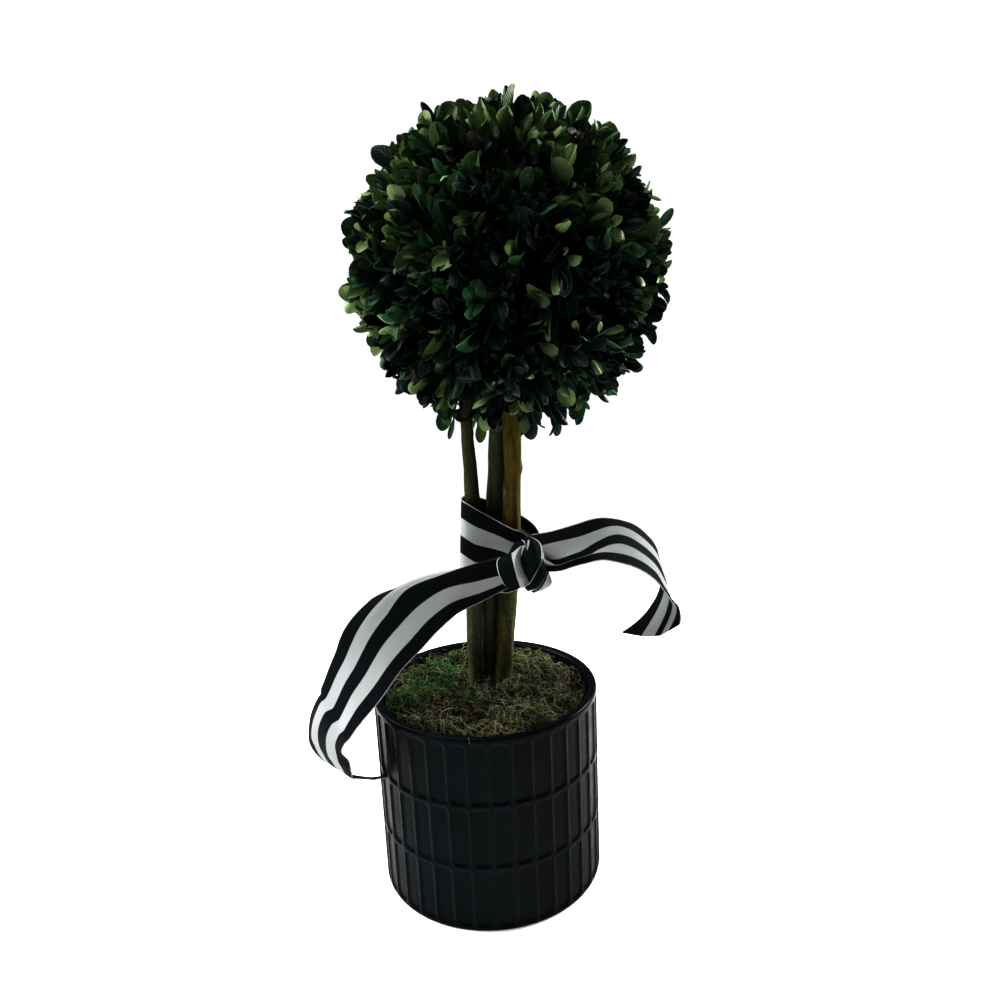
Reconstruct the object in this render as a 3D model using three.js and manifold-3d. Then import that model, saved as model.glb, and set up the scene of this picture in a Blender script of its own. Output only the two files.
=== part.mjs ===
// A clipped box ball on three stems in a fluted ceramic pot, tied with a striped ribbon.
// Millimetres, +Z up. The origin is the centre of the pot's flat underside, and the knot faces -Y.
import * as THREE from 'three';
import Module from 'manifold-3d';

const wasm = await Module();
wasm.setup();

const TAU = 2 * Math.PI;
const UP = new THREE.Vector3(0, 0, 1);
const SEAT_GAP = 0.3; // clearance wherever two pieces touch

// Pot: a straight cylinder with three tiers of scooped flutes under a smooth lip.
const POT_RADIUS = 62;
const POT_HEIGHT = 110;
const POT_WALL = 5;
const POT_FLOOR = 6;
const POT_BEVEL = 1.2;
const FLUTES = 36;
const FLUTE_DEPTH = 1;
const FLUTE_END = 3; // height over which a flute's rounded end runs out
const FLUTES_FROM = 1.6;
const FLUTES_TO = 107.4;
const TIERS = 3;
const TIER_RING = 0.9; // height of the raised ring between two tiers
const COLUMNS_PER_FLUTE = 3;
const LIP_ROUND = 1.5;

// Planting: a fill inside the pot and a domed pad of moss on it.
const FILL_TOP = 100;
const FILL_SIDES = 48;
const MOSS_EDGE = 105;
const MOSS_CROWN = 112.5;
const MOSS_RINGS = 5;

// Stems: points up the middle of each, with its radius there, from the flat foot to the tip.
const STEM_FOOT = FILL_TOP + SEAT_GAP;
const STEM_SIDES = 10;
const STEM_ROWS = 11;
const FLARE_RADIUS = 0.6;
const FLARE_HEIGHT = 9;
const STEMS = {
  stem_left: {
    colour: 0x5d6044,
    points: [[-5.2, 2.4, STEM_FOOT], [-4.0, 2.2, 155], [-1.9, 2.0, 219], [-3.0, 2.0, 275]],
    radii: [3.8, 4.3, 3.6, 3.2],
  },
  stem_middle: {
    colour: 0x565a3d,
    points: [[2.5, 7.6, STEM_FOOT], [4.4, 7.3, 153], [10.1, 7.0, 218], [13.4, 6.5, 274]],
    radii: [3.6, 4.1, 4.1, 3.4],
  },
  stem_right: {
    colour: 0x7a7434,
    points: [[10.6, 1.5, STEM_FOOT], [14.8, 1.5, 154], [19.8, 1.6, 218], [21.1, 1.6, 272]],
    radii: [4.4, 5.5, 4.6, 4.3],
  },
};

// Foliage: one clipped ball, a little uneven, sitting to the right of the pot's axis.
const BALL_CENTRE = new THREE.Vector3(23, 0, 333.5);
const BALL_RADIUS = 81;
const BALL_SAG = 1.05; // the lower half hangs a little below a true ball
const BALL_DETAIL = 10;
const TUFTS = 90;
const TUFT_HEIGHT = 4.8;
const TUFT_SHARPNESS = 70; // larger is narrower
const BALL_WAVE = 1.6;

// Ribbon: striped cloth, drawn thicker than real so that it is a solid.
const RIBBON_WIDTH = 38;
const RIBBON_THICK = 1.2;
const TAIL_ROWS = 8;

// The wrap's path round the stems, seen from above, and its height at its left and right ends.
const WRAP_PLAN = [
  [-7.45, 2], [-5, -4], [9, -7.3], [22, -10.6], [30.5, -7], [32, 2], [24, 11], [8, 13.2], [-4.5, 8.8],
];
const WRAP_SAMPLES = 36;
const WRAP_LEFT = { x: -9, low: 181, high: 217 };
const WRAP_RIGHT = { x: 33, low: 172, high: 190 };

const KNOT_CENTRE = new THREE.Vector3(23, -21.2, 186);
const KNOT_RADII = new THREE.Vector3(14, 9, 15);
const KNOT_DETAIL = 3;
const KNOT_FOLDS = 5;
const KNOT_FOLD_DEPTH = 0.06;

// Each tail: its middle line away from the knot, and the direction across the cloth at each point.
// It is gathered to a share of its width at the knot, and spreads over a share of its length.
const TAILS = {
  left: {
    middle: [
      [14, -22, 182], [-1, -25, 179], [-19, -30, 176], [-37, -35, 167.5], [-53, -39, 154], [-63, -41, 139],
      [-72, -40, 126], [-81, -37, 112], [-87, -31, 95], [-85, -23, 78], [-76, -16, 67], [-61, -13.6, 64.3],
    ],
    across: [
      [0, 4, 9], [-2, 8, 13], [-7, 8, 14], [-12, 7, 13], [-14.5, 8, 9], [-14, 12, 6],
      [-12, 14, 3.5], [-10, 16, 1], [-9.5, 16, -3], [-8, 16, -6], [-4, 16, -9], [-2.5, 16, -9.7],
    ],
    gather: { width: 0.42, length: 0.3 },
    slant: 0,
    pieces: [
      { node: 'ribbon_tail_left_upper', from: 0, to: 0.4 },
      { node: 'ribbon_tail_left_lower', from: 0.402, to: 0.74 },
      { node: 'ribbon_tail_left_end', from: 0.742, to: 1 },
    ],
  },
  right: {
    middle: [
      [31, -20, 189], [42, -20, 192.5], [53, -20, 195], [66, -20, 196], [80, -20, 192.3], [89.5, -19, 185],
      [96, -16, 175.5], [99.5, -13, 165], [98, -15, 154], [88.5, -22, 140],
    ],
    across: [
      [0, 15, 6], [2, 17.5, 5], [3, 17.5, 5.5], [4, 17, 6], [5, 17, 5], [5.7, 17.7, 2],
      [5.3, 17.8, -2.5], [2, 17.5, -5.5], [-4, 16, -6], [-13, 10, -7],
    ],
    gather: { width: 0.6, length: 0.14 },
    slant: 0.1, // share of its length by which the cut end is askew
    pieces: [
      { node: 'ribbon_tail_right_upper', from: 0, to: 0.56 },
      { node: 'ribbon_tail_right_lower', from: 0.564, to: 1 },
    ],
  },
};

function toManifold(geometry) {
  const bare = geometry.clone();
  bare.deleteAttribute('normal');
  bare.deleteAttribute('uv');
  const welded = mergeByPosition(bare);
  return new wasm.Manifold(new wasm.Mesh({ numProp: 3, ...welded }));
}

// Welds vertices that share a place, so that the surface is closed.
function mergeByPosition(geometry) {
  const flat = geometry.index ? geometry.toNonIndexed() : geometry;
  const position = flat.getAttribute('position');
  const seen = new Map();
  const places = [];
  const corners = [];
  for (let i = 0; i < position.count; i += 1) {
    const place = [position.getX(i), position.getY(i), position.getZ(i)];
    const key = place.map((value) => Math.round(value * 1e4)).join();
    if (!seen.has(key)) {
      seen.set(key, places.length / 3);
      places.push(...place);
    }
    corners.push(seen.get(key));
  }
  const triangles = [];
  for (let i = 0; i < corners.length; i += 3) {
    const [a, b, c] = corners.slice(i, i + 3);
    if (a !== b && b !== c && c !== a) {
      triangles.push(a, b, c);
    }
  }
  return { vertProperties: new Float32Array(places), triVerts: new Uint32Array(triangles) };
}

function toGeometry(manifold) {
  const mesh = manifold.getMesh();
  const geometry = new THREE.BufferGeometry();
  geometry.setAttribute('position', new THREE.BufferAttribute(mesh.vertProperties, 3));
  geometry.setIndex(new THREE.BufferAttribute(mesh.triVerts, 1));
  geometry.computeVertexNormals();
  return geometry;
}

function cut(geometry, ...tools) {
  let solid = toManifold(geometry);
  for (const tool of tools) {
    solid = solid.subtract(toManifold(tool));
  }
  return toGeometry(solid);
}

// Moves every vertex of a geometry with a function of its place.
function bend(geometry, place) {
  const position = geometry.getAttribute('position');
  const vertex = new THREE.Vector3();
  for (let i = 0; i < position.count; i += 1) {
    vertex.fromBufferAttribute(position, i);
    place(vertex);
    position.setXYZ(i, vertex.x, vertex.y, vertex.z);
  }
  geometry.computeVertexNormals();
  return geometry;
}

function vectors(points) {
  return points.map((point) => new THREE.Vector3(...point));
}

function lathe(profile, segments) {
  const points = profile.map(([radius, height]) => new THREE.Vector2(radius, height));
  return new THREE.LatheGeometry(points, segments).rotateX(Math.PI / 2);
}

// How far up its run a flute is at full depth: 0 at its ends and on the rings, 1 between.
function tierOutline() {
  const pitch = (FLUTES_TO - FLUTES_FROM) / TIERS;
  const rows = [];
  for (let tier = 0; tier < TIERS; tier += 1) {
    const low = FLUTES_FROM + tier * pitch + TIER_RING / 2;
    const high = low + pitch - TIER_RING;
    rows.push({ z: low, depth: 0 });
    rows.push({ z: low + FLUTE_END, depth: FLUTE_DEPTH });
    rows.push({ z: high - FLUTE_END, depth: FLUTE_DEPTH });
    rows.push({ z: high, depth: 0 });
  }
  return rows;
}

function potGeometry() {
  const rows = tierOutline();
  const lipRadius = POT_RADIUS - POT_WALL / 2;
  const inner = POT_RADIUS - POT_WALL;
  const profile = [
    [0, 0],
    [POT_RADIUS - POT_BEVEL, 0],
    [POT_RADIUS, POT_BEVEL],
    ...rows.map(({ z }) => [POT_RADIUS, z]),
    [POT_RADIUS, POT_HEIGHT - 2 * LIP_ROUND],
    [POT_RADIUS - LIP_ROUND / 2, POT_HEIGHT - LIP_ROUND / 2],
    [lipRadius, POT_HEIGHT],
    [inner, POT_HEIGHT - LIP_ROUND],
    [inner, POT_FLOOR],
    [0, POT_FLOOR],
  ];
  const columns = FLUTES * COLUMNS_PER_FLUTE;
  return bend(lathe(profile, columns), (vertex) => {
    const radius = Math.hypot(vertex.x, vertex.y);
    const row = rows.find(({ z }) => Math.abs(z - vertex.z) < 1e-3);
    const column = Math.round((Math.atan2(vertex.y, vertex.x) / TAU) * columns);
    const onRib = column % COLUMNS_PER_FLUTE === 0;
    if (row && radius > inner + 1 && !onRib) {
      const scale = (radius - row.depth) / radius;
      vertex.x *= scale;
      vertex.y *= scale;
    }
  });
}

function fillGeometry() {
  const radius = POT_RADIUS - POT_WALL - 2 * SEAT_GAP;
  const height = FILL_TOP - POT_FLOOR - SEAT_GAP;
  const fill = new THREE.CylinderGeometry(radius, radius, height, FILL_SIDES).rotateX(Math.PI / 2);
  return fill.translate(0, 0, POT_FLOOR + SEAT_GAP + height / 2);
}

function mossGeometry() {
  const radius = POT_RADIUS - POT_WALL - 2 * SEAT_GAP;
  const profile = [[0, STEM_FOOT], [radius, STEM_FOOT]];
  for (let ring = 0; ring <= MOSS_RINGS; ring += 1) {
    const share = ring / MOSS_RINGS;
    const rise = Math.sin((share * Math.PI) / 2);
    profile.push([radius * (1 - share), MOSS_EDGE + (MOSS_CROWN - MOSS_EDGE) * rise]);
  }
  const holes = Object.values(STEMS).map((stem) => stemGeometry(stem, 2 * SEAT_GAP).translate(0, 0, -1));
  return cut(lathe(profile, FILL_SIDES), ...holes);
}

// One tapering limb along a smooth path, from a flat foot. `grow` thickens it, for cutting its hole.
function stemGeometry({ points, radii }, grow = 0) {
  const path = new THREE.CatmullRomCurve3(vectors(points), false, 'centripetal');
  const rod = new THREE.CylinderGeometry(1, 1, 1, STEM_SIDES, STEM_ROWS).rotateX(Math.PI / 2);
  return bend(rod, (vertex) => {
    const share = vertex.z + 0.5;
    const centre = path.getPoint(share);
    const along = share < 1e-6 ? UP : path.getTangent(share);
    const right = new THREE.Vector3(0, 1, 0).cross(along).normalize();
    const back = along.clone().cross(right);
    const radius = stemRadius(radii, share, centre.z) + grow;
    vertex.copy(centre.addScaledVector(right, vertex.x * radius).addScaledVector(back, vertex.y * radius));
    vertex.z += share > 1 - 1e-6 ? grow : 0;
  });
}

function stemRadius(radii, share, height) {
  const place = share * (radii.length - 1);
  const step = Math.min(Math.floor(place), radii.length - 2);
  const radius = THREE.MathUtils.lerp(radii[step], radii[step + 1], place - step);
  const flare = FLARE_RADIUS * Math.exp(-(height - STEM_FOOT) / FLARE_HEIGHT);
  return radius + flare;
}

// Directions spread evenly over a sphere.
function evenDirections(count) {
  const golden = Math.PI * (3 - Math.sqrt(5));
  const directions = [];
  for (let i = 0; i < count; i += 1) {
    const height = 1 - (2 * (i + 0.5)) / count;
    const ring = Math.sqrt(1 - height * height);
    directions.push(new THREE.Vector3(ring * Math.cos(golden * i), ring * Math.sin(golden * i), height));
  }
  return directions;
}

function ballGeometry() {
  const tufts = evenDirections(TUFTS);
  const ball = bend(new THREE.IcosahedronGeometry(1, BALL_DETAIL), (vertex) => {
    const out = vertex.clone().normalize();
    const swell = tufts.reduce((sum, tuft, i) => {
      const height = TUFT_HEIGHT * (0.4 + 0.6 * Math.abs(Math.sin(i * 2.4)));
      return Math.max(sum, height * Math.exp(-TUFT_SHARPNESS * (1 - tuft.dot(out))));
    }, 0);
    const wave = BALL_WAVE * Math.sin(4 * out.x + 1) * Math.cos(3 * out.y - 2 * out.z);
    vertex.copy(out).multiplyScalar(BALL_RADIUS - TUFT_HEIGHT / 2 + swell + wave);
    vertex.z *= vertex.z < 0 ? BALL_SAG : 1;
  });
  const sockets = Object.values(STEMS).map((stem) => {
    const [x, y, z] = BALL_CENTRE.toArray();
    return stemGeometry(stem, SEAT_GAP).translate(-x, -y, -z);
  });
  return cut(ball, ...sockets);
}

// A closed outline round the stems, `offset` outside the wrap's inner face.
function wrapOutline(offset) {
  const path = new THREE.CatmullRomCurve3(vectors(WRAP_PLAN.map(([x, y]) => [x, y, 0])), true);
  const outline = [];
  for (let i = 0; i < WRAP_SAMPLES; i += 1) {
    const share = i / WRAP_SAMPLES;
    const side = path.getTangent(share).cross(UP).normalize();
    const point = path.getPoint(share).addScaledVector(side, offset);
    outline.push(new THREE.Vector2(point.x, point.y));
  }
  return outline;
}

// The ribbon's one turn round the stems: a closed band, tall at the left and gathered at the knot.
function wrapGeometry() {
  const shape = new THREE.Shape(wrapOutline(RIBBON_THICK));
  shape.holes.push(new THREE.Path(wrapOutline(0)));
  const band = new THREE.ExtrudeGeometry(shape, { depth: 1, bevelEnabled: false });
  return bend(band, (vertex) => {
    const share = (vertex.x - WRAP_LEFT.x) / (WRAP_RIGHT.x - WRAP_LEFT.x);
    const low = THREE.MathUtils.lerp(WRAP_LEFT.low, WRAP_RIGHT.low, share);
    const high = THREE.MathUtils.lerp(WRAP_LEFT.high, WRAP_RIGHT.high, share);
    vertex.z = THREE.MathUtils.lerp(low, high, vertex.z);
  });
}

// The space that the wrap and the stems in it take up, for cutting back what lies against them.
function wrapCore() {
  const core = new THREE.Shape(wrapOutline(RIBBON_THICK + SEAT_GAP));
  const depth = WRAP_LEFT.high - WRAP_RIGHT.low;
  return new THREE.ExtrudeGeometry(core, { depth, bevelEnabled: false }).translate(0, 0, WRAP_RIGHT.low);
}

// The knot, a folded lump of ribbon. `grow` swells it, for cutting the seats of what leaves it.
function knotGeometry(grow = 0) {
  const lump = new THREE.IcosahedronGeometry(1, KNOT_DETAIL);
  return bend(lump, (vertex) => {
    const turn = Math.atan2(vertex.z, vertex.x);
    const fold = 1 + KNOT_FOLD_DEPTH * Math.cos(KNOT_FOLDS * turn);
    const radii = KNOT_RADII.clone().addScalar(grow);
    vertex.multiplyScalar(fold).multiply(radii).add(KNOT_CENTRE);
  });
}

// A stretch of one tail: a thin closed strip that follows the middle line and lies across it.
function tailGeometry(tail, from, to) {
  const middle = new THREE.CatmullRomCurve3(vectors(tail.middle));
  const across = new THREE.CatmullRomCurve3(vectors(tail.across));
  const { gather, slant } = tail;
  const strip = new THREE.BoxGeometry(1, 1, 1, TAIL_ROWS, 1, 1);
  const bent = bend(strip, (vertex) => {
    const straight = THREE.MathUtils.lerp(from, to, vertex.x + 0.5);
    const share = straight - slant * (0.5 - vertex.y) * straight ** 4;
    const along = middle.getTangent(share);
    const width = across.getPoint(share);
    width.addScaledVector(along, -width.dot(along)).normalize();
    const face = along.clone().cross(width);
    const spread = THREE.MathUtils.smoothstep(share, 0, gather.length);
    const reach = RIBBON_WIDTH * THREE.MathUtils.lerp(gather.width, 1, spread);
    const place = middle.getPoint(share);
    place.addScaledVector(width, vertex.y * reach);
    vertex.copy(place.addScaledVector(face, vertex.z * RIBBON_THICK));
  });
  return cut(bent, knotGeometry(SEAT_GAP), wrapCore());
}

function finish(color, roughness, metalness = 0) {
  return new THREE.MeshStandardMaterial({ color, roughness, metalness });
}

function mesh(name, geometry, material) {
  const piece = new THREE.Mesh(geometry, material);
  piece.name = name;
  return piece;
}

function planter() {
  const planted = new THREE.Group();
  planted.name = 'planter';
  planted.add(mesh('pot', potGeometry(), finish(0x131416, 0.3)));
  planted.add(mesh('pot_fill', fillGeometry(), finish(0x4b4238, 0.95)));
  planted.add(mesh('moss', mossGeometry(), finish(0x4d4c2b, 1)));
  return planted;
}

function plant() {
  const grown = new THREE.Group();
  grown.name = 'plant';
  for (const [name, stem] of Object.entries(STEMS)) {
    grown.add(mesh(name, stemGeometry(stem), finish(stem.colour, 0.7)));
  }
  const ball = mesh('foliage_ball', ballGeometry(), finish(0x24321c, 0.6));
  ball.position.copy(BALL_CENTRE);
  grown.add(ball);
  return grown;
}

function ribbon() {
  const tied = new THREE.Group();
  tied.name = 'ribbon';
  const cloth = () => finish(0x8a8a8c, 0.75);
  tied.add(mesh('ribbon_wrap', wrapGeometry(), cloth()));
  tied.add(mesh('ribbon_knot', cut(knotGeometry(), wrapCore()), cloth()));
  for (const tail of Object.values(TAILS)) {
    for (const { node, from, to } of tail.pieces) {
      tied.add(mesh(node, tailGeometry(tail, from, to), cloth()));
    }
  }
  return tied;
}

const group = new THREE.Group();
group.name = 'box_topiary_ball';
group.add(planter(), plant(), ribbon());

export default group;
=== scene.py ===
import math

import bpy
import numpy as np
from mathutils import Matrix, Vector


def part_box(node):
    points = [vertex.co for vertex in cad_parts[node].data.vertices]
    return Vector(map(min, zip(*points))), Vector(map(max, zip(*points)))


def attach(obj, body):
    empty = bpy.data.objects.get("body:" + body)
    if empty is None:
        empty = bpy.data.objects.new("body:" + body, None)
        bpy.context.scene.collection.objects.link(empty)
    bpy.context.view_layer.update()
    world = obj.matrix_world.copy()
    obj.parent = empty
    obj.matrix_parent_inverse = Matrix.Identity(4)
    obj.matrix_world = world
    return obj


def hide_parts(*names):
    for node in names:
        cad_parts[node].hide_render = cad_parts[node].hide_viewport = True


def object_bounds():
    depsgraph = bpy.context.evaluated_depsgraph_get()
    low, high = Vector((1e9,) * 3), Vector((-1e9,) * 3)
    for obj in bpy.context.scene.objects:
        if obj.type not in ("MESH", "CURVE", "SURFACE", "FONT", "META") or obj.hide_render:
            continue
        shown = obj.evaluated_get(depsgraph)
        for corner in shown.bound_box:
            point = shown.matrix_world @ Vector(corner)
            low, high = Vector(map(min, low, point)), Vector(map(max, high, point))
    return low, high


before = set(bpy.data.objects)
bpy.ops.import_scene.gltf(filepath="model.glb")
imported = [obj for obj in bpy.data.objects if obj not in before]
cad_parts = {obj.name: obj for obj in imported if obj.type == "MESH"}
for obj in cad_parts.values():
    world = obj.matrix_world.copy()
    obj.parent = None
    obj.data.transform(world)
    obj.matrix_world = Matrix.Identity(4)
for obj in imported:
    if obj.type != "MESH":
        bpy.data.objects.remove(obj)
CAD_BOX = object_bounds()

# A preserved box ball on three stems in a fluted pot, tied with a striped ribbon.
# Metres, +Z up, the knot facing -Y. Route points and small sizes are in millimetres, times MM.
MM = 0.001
TAU = 2 * math.pi
UP = np.array([0.0, 0.0, 1.0])
CAMERA_PLACE = (0.0, -0.4267, 0.3159)
CAMERA_LENS = 29.7
CAMERA_DOWN = math.radians(13.33)
CAMERA_RIGHT = math.radians(1.74)
CAMERA_ROLL = math.radians(-2.54)

# Pot: three tiers of scooped flutes under a smooth lip.
POT_LOW, POT_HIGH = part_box("pot")
POT_HEIGHT = POT_HIGH.z
POT_RADIUS = (POT_HIGH.x - POT_LOW.x) / 2
POT_WALL = 5 * MM
POT_FLOOR = 6 * MM
POT_BEVEL = 1.2 * MM
LIP_ROUND = 1.6 * MM
LIP_FALL = 0.5 * MM
LIP_SHOULDER = 0.6 * MM
LIP_INSIDE = 12 * MM
FLOOR_ROW = 20 * MM
FLUTES = 36
FLUTE_COLUMNS = 14
FLUTE_DEPTH = 0.95 * MM
FLUTE_SLOPE = 2.0 * MM
FLUTE_CORNER = 3.2 * MM
FLUTE_RIB = 0.5 * MM
FLUTES_FROM = 1.6 * MM
FLUTES_TO = 107.4 * MM
TIERS = 3
TIER_RING = 0.9 * MM
TIER_ROWS = 30
ROW_EASE = 0.8
COLUMN_EASE = 0.7
POOL_DEPTH = 0.12
POOL_HEIGHT = 2.2 * MM

# Moss: a lumpy dome under a tangle of curled fibres.
MOSS_LOW, MOSS_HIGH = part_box("moss")
MOSS_RADIUS = (MOSS_HIGH.x - MOSS_LOW.x) / 2
MOSS_EDGE = POT_HEIGHT - 5 * MM
MOSS_LUMP = 2.8 * MM
MOSS_LUMP_SIZE = 26 * MM
MOSS_HOLLOW = 4 * MM
MOSS_RINGS = 50
MOSS_COLUMNS = 120
FIBRES = 7000
FIBRE_POINTS = 8
FIBRE_LENGTH = (7 * MM, 17 * MM)
FIBRE_RADIUS = 0.27 * MM
FIBRE_SIDES = 3
FIBRE_CLIMB = (0.2, 1.25)
FIBRE_FALL = (0.15, 0.6)
FIBRE_BEND = 0.6
FIBRE_WANDER = 0.5
FIBRE_SPREAD = 0.985
FIBRE_REACH = 0.99
FIBRE_SUNK = 0.5 * MM
FIBRE_CLEAR = 0.1 * MM
FIBRE_TAPER = 0.35
FIBRE_THICKNESS = (0.6, 1.15)
GAP_SHORTENING = 0.6

# Stems, with the bark's ridges, swellings and knots.
STEMS = ("stem_left", "stem_middle", "stem_right")
STEM_COLUMNS = 40
STEM_ROWS = 240
CAD_RING_GAP = 3 * MM
BARK_RIDGE = 0.16 * MM
BARK_RIDGE_SIZE = 5 * MM
BARK_RIDGE_STRETCH = 0.16
BARK_SWELLING = 0.22 * MM
BARK_SWELLING_SIZE = 40 * MM
BARK_KNOTS = 9
BARK_KNOT_SPAN = (0.118, 0.265)
BARK_KNOT_SIZE = (0.15, 0.5)
BARK_KNOT_REACH = 2.2 * MM
BUMP_REACH = 3 * MM

# Ball of leaves.
BALL_LOW, BALL_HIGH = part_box("foliage_ball")
BALL_CENTRE = np.array((BALL_LOW + BALL_HIGH) / 2)
BALL_RADII = np.array((BALL_HIGH - BALL_LOW) / 2)
SPRIGS = 620
INNER_SPRIGS = 260
INNER_REACH = 0.66
SPRIG_SPREAD = 1.8 * MM
INNER_SPREAD = 4 * MM
SPRIG_SHIFT = 0.045
SPRIG_TILT = 0.2
SPRIG_FOOT = 12 * MM
PAIRS = (4, 5)
PAIR_GAP = (3.6 * MM, 5.0 * MM)
LEAF_LENGTH = (12 * MM, 19 * MM)
LEAF_SHAPE = 0.56
BALL_FOOT = -0.8
THIN_BELOW = 0.5
OPEN_ANGLES = (0.6, 0.12)
INNER_OPEN_ANGLES = (1.25, 0.5)
BUDDING_SHARE = 0.16
ODD_LEAF_SHARE = 0.14
HANGING_POINT = 0.6
LEAF_ROWS = (0.0, 0.14, 0.34, 0.54, 0.72, 0.86, 0.95, 1.0)
LEAF_COLUMNS = (-1.0, -0.5, 0.0, 0.5, 1.0)
LEAF_WIDEST = 0.64
LEAF_FOLD = 0.12
LEAF_GROWTH = (0.85, 1.12)
LEAF_BREADTH = (0.7, 1.15)
TIP_LEAF = 0.78
# Middle and spread of how the leaves differ, in radians.
LEAF_BEND = (0.4, 0.8)
LEAF_CUP = (0.8, 0.45)
LEAF_TWIST = (0, 0.55)
LEAF_ROLL = (0, 0.5)
LEAF_TURN = (0, 0.2)
LEAF_OPEN = (0, 0.17)
CUP_LIMITS = (0.1, 1.7)
BOUGH_SPRIGS = 8
TWIG_RADII = (0.8 * MM, 0.6 * MM, 0.3 * MM)
WOOD_RADIUS = 0.75 * MM
WOOD_POWER = 0.26
LIMB_PULL = 0.4
CUT_TILT = 0.15
CUT_SHARE = (0.4, 0.6)
FORK_SHARE = (0.3, 0.45)
LAST_FORK = 0.5

# Ribbon: fine ribs and twill lines to each ribbon width.
RIBBON_WIDTH = 38 * MM
RIBBON_THICK = 0.4 * MM
RIBBON_RIBS = 48
RIBBON_TWILL = 56
CLOTH_COLUMNS = 33
TAIL_ROWS = 220
WRAP_ROWS = 181
KNOT_ROWS = 41
KNOT_COLUMNS = 25


# ---- numbers and shapes


def unit(vectors):
    """The vectors at length one."""
    vectors = np.asarray(vectors, float)
    return vectors / np.maximum(np.linalg.norm(vectors, axis=-1, keepdims=True), 1e-12)


def smooth_step(value, low, high):
    share = np.clip((value - low) / (high - low), 0, 1)
    return share * share * (3 - 2 * share)


def ripple(places, size, seed, octaves=4):
    """Uneven values from about -1 to 1 at the places. `size` is the length of the widest wave."""
    dice = np.random.default_rng(seed)
    total = np.zeros(len(places))
    for octave in range(octaves):
        for _ in range(4):
            wave = unit(dice.normal(size=3)) * TAU / size * 2**octave
            total += np.sin(places @ wave + dice.uniform(0, TAU)) * 0.5**octave / 2
    return total


def evenly(count):
    """Shares from 0 to 1."""
    return np.linspace(0, 1, count)


def polar(radius, turn, height):
    """Places round the upright axis."""
    return np.stack(np.broadcast_arrays(radius * np.cos(turn), radius * np.sin(turn), height), -1)


def turns(count):
    """Even turns round a circle."""
    return np.arange(count) / count * TAU


def ring(side, other, count):
    """Directions round a circle, from two directions square to each other."""
    turn = turns(count)[:, None]
    return side[..., None, :] * np.cos(turn) + other[..., None, :] * np.sin(turn)


def repeated(quads, count, size):
    """The quads of many copies of a shape that has that many vertices."""
    return (quads[None] + (np.arange(count) * size)[:, None, None]).reshape(-1, 4)


def root_length(steps):
    """The square root of each step's length, as a column."""
    return np.sqrt(np.maximum(np.linalg.norm(steps, axis=1), 1e-9))[:, None]


def curve(points, shares):
    """Places along a smooth line through the points, and its directions there."""
    points = np.asarray(points, float)
    ends = [2 * points[0] - points[1], *points, 2 * points[-1] - points[-2]]
    ends = np.array(ends)
    steps = np.clip(np.asarray(shares, float), 0, 1) * (len(points) - 1)
    first = np.minimum(steps.astype(int), len(points) - 2)
    part = (steps - first)[:, None]
    a, b, c, d = (ends[first + i] for i in range(4))
    near, mid, far = (root_length(step) for step in (b - a, c - b, d - c))
    leave = ((b - a) / near - (c - a) / (near + mid) + (c - b) / mid) * mid
    arrive = ((c - b) / mid - (d - b) / (mid + far) + (d - c) / far) * mid
    square = 3 * (c - b) - 2 * leave - arrive
    cube = 2 * (b - c) + leave + arrive
    places = b + leave * part + square * part**2 + cube * part**3
    return places, unit(leave + 2 * square * part + 3 * cube * part**2)


def grid_quads(rows, columns, closed=False):
    """The quads of a grid of vertices, row by row. A closed grid joins its last column to its first."""
    across = columns if closed else columns - 1
    row, column = np.meshgrid(np.arange(rows - 1), np.arange(across), indexing="ij")
    left = row * columns + column
    right = row * columns + (column + 1) % columns
    quads = np.stack([left, right, right + columns, left + columns], -1)
    return quads.reshape(-1, 4)


def tube(points, radii, sides):
    """Rings of vertices round a line of points, and the quads between them."""
    points = np.asarray(points, float)
    along = unit(np.gradient(points, axis=0))
    level = np.where(np.abs(along[:, 2:3]) > 0.9, [[1.0, 0, 0]], [[0, 0, 1.0]])
    side = unit(np.cross(along, level))
    other = np.cross(along, side)
    places = points[:, None] + ring(side, other, sides) * np.asarray(radii)[:, None, None]
    return places.reshape(-1, 3), grid_quads(len(points), sides, closed=True)


class Heap:
    """Many small shapes of quads, to be joined into one mesh."""

    def __init__(self):
        self.parts = []
        self.count = 0

    def add(self, places, quads, uvs):
        self.parts.append((places, quads + self.count, uvs))
        self.count += len(places)

    def piece(self, name, material, slot):
        places, quads, uvs = (np.concatenate(part) for part in zip(*self.parts))
        add_piece(name, places, quads, material, uvs)


def add_object(name, data):
    thing = bpy.data.objects.new(name, data)
    bpy.context.scene.collection.objects.link(thing)
    return thing


def add_piece(name, places, quads, material, uvs=None, uv_name="OFBake"):
    """A mesh object that rides with the plant. uvs holds a pair for each vertex."""
    mesh = bpy.data.meshes.new(name)
    mesh.from_pydata(np.reshape(places, (-1, 3)).tolist(), [], quads.tolist())
    mesh.shade_smooth()
    if uvs is not None:
        corners = np.empty(len(mesh.loops), np.int32)
        mesh.loops.foreach_get("vertex_index", corners)
        mesh.uv_layers.new(name=uv_name).data.foreach_set("uv", uvs[corners].astype(np.float32).ravel())
    mesh.materials.append(material)
    piece = add_object(name, mesh)
    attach(piece, "root")
    return piece


# ---- materials


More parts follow.
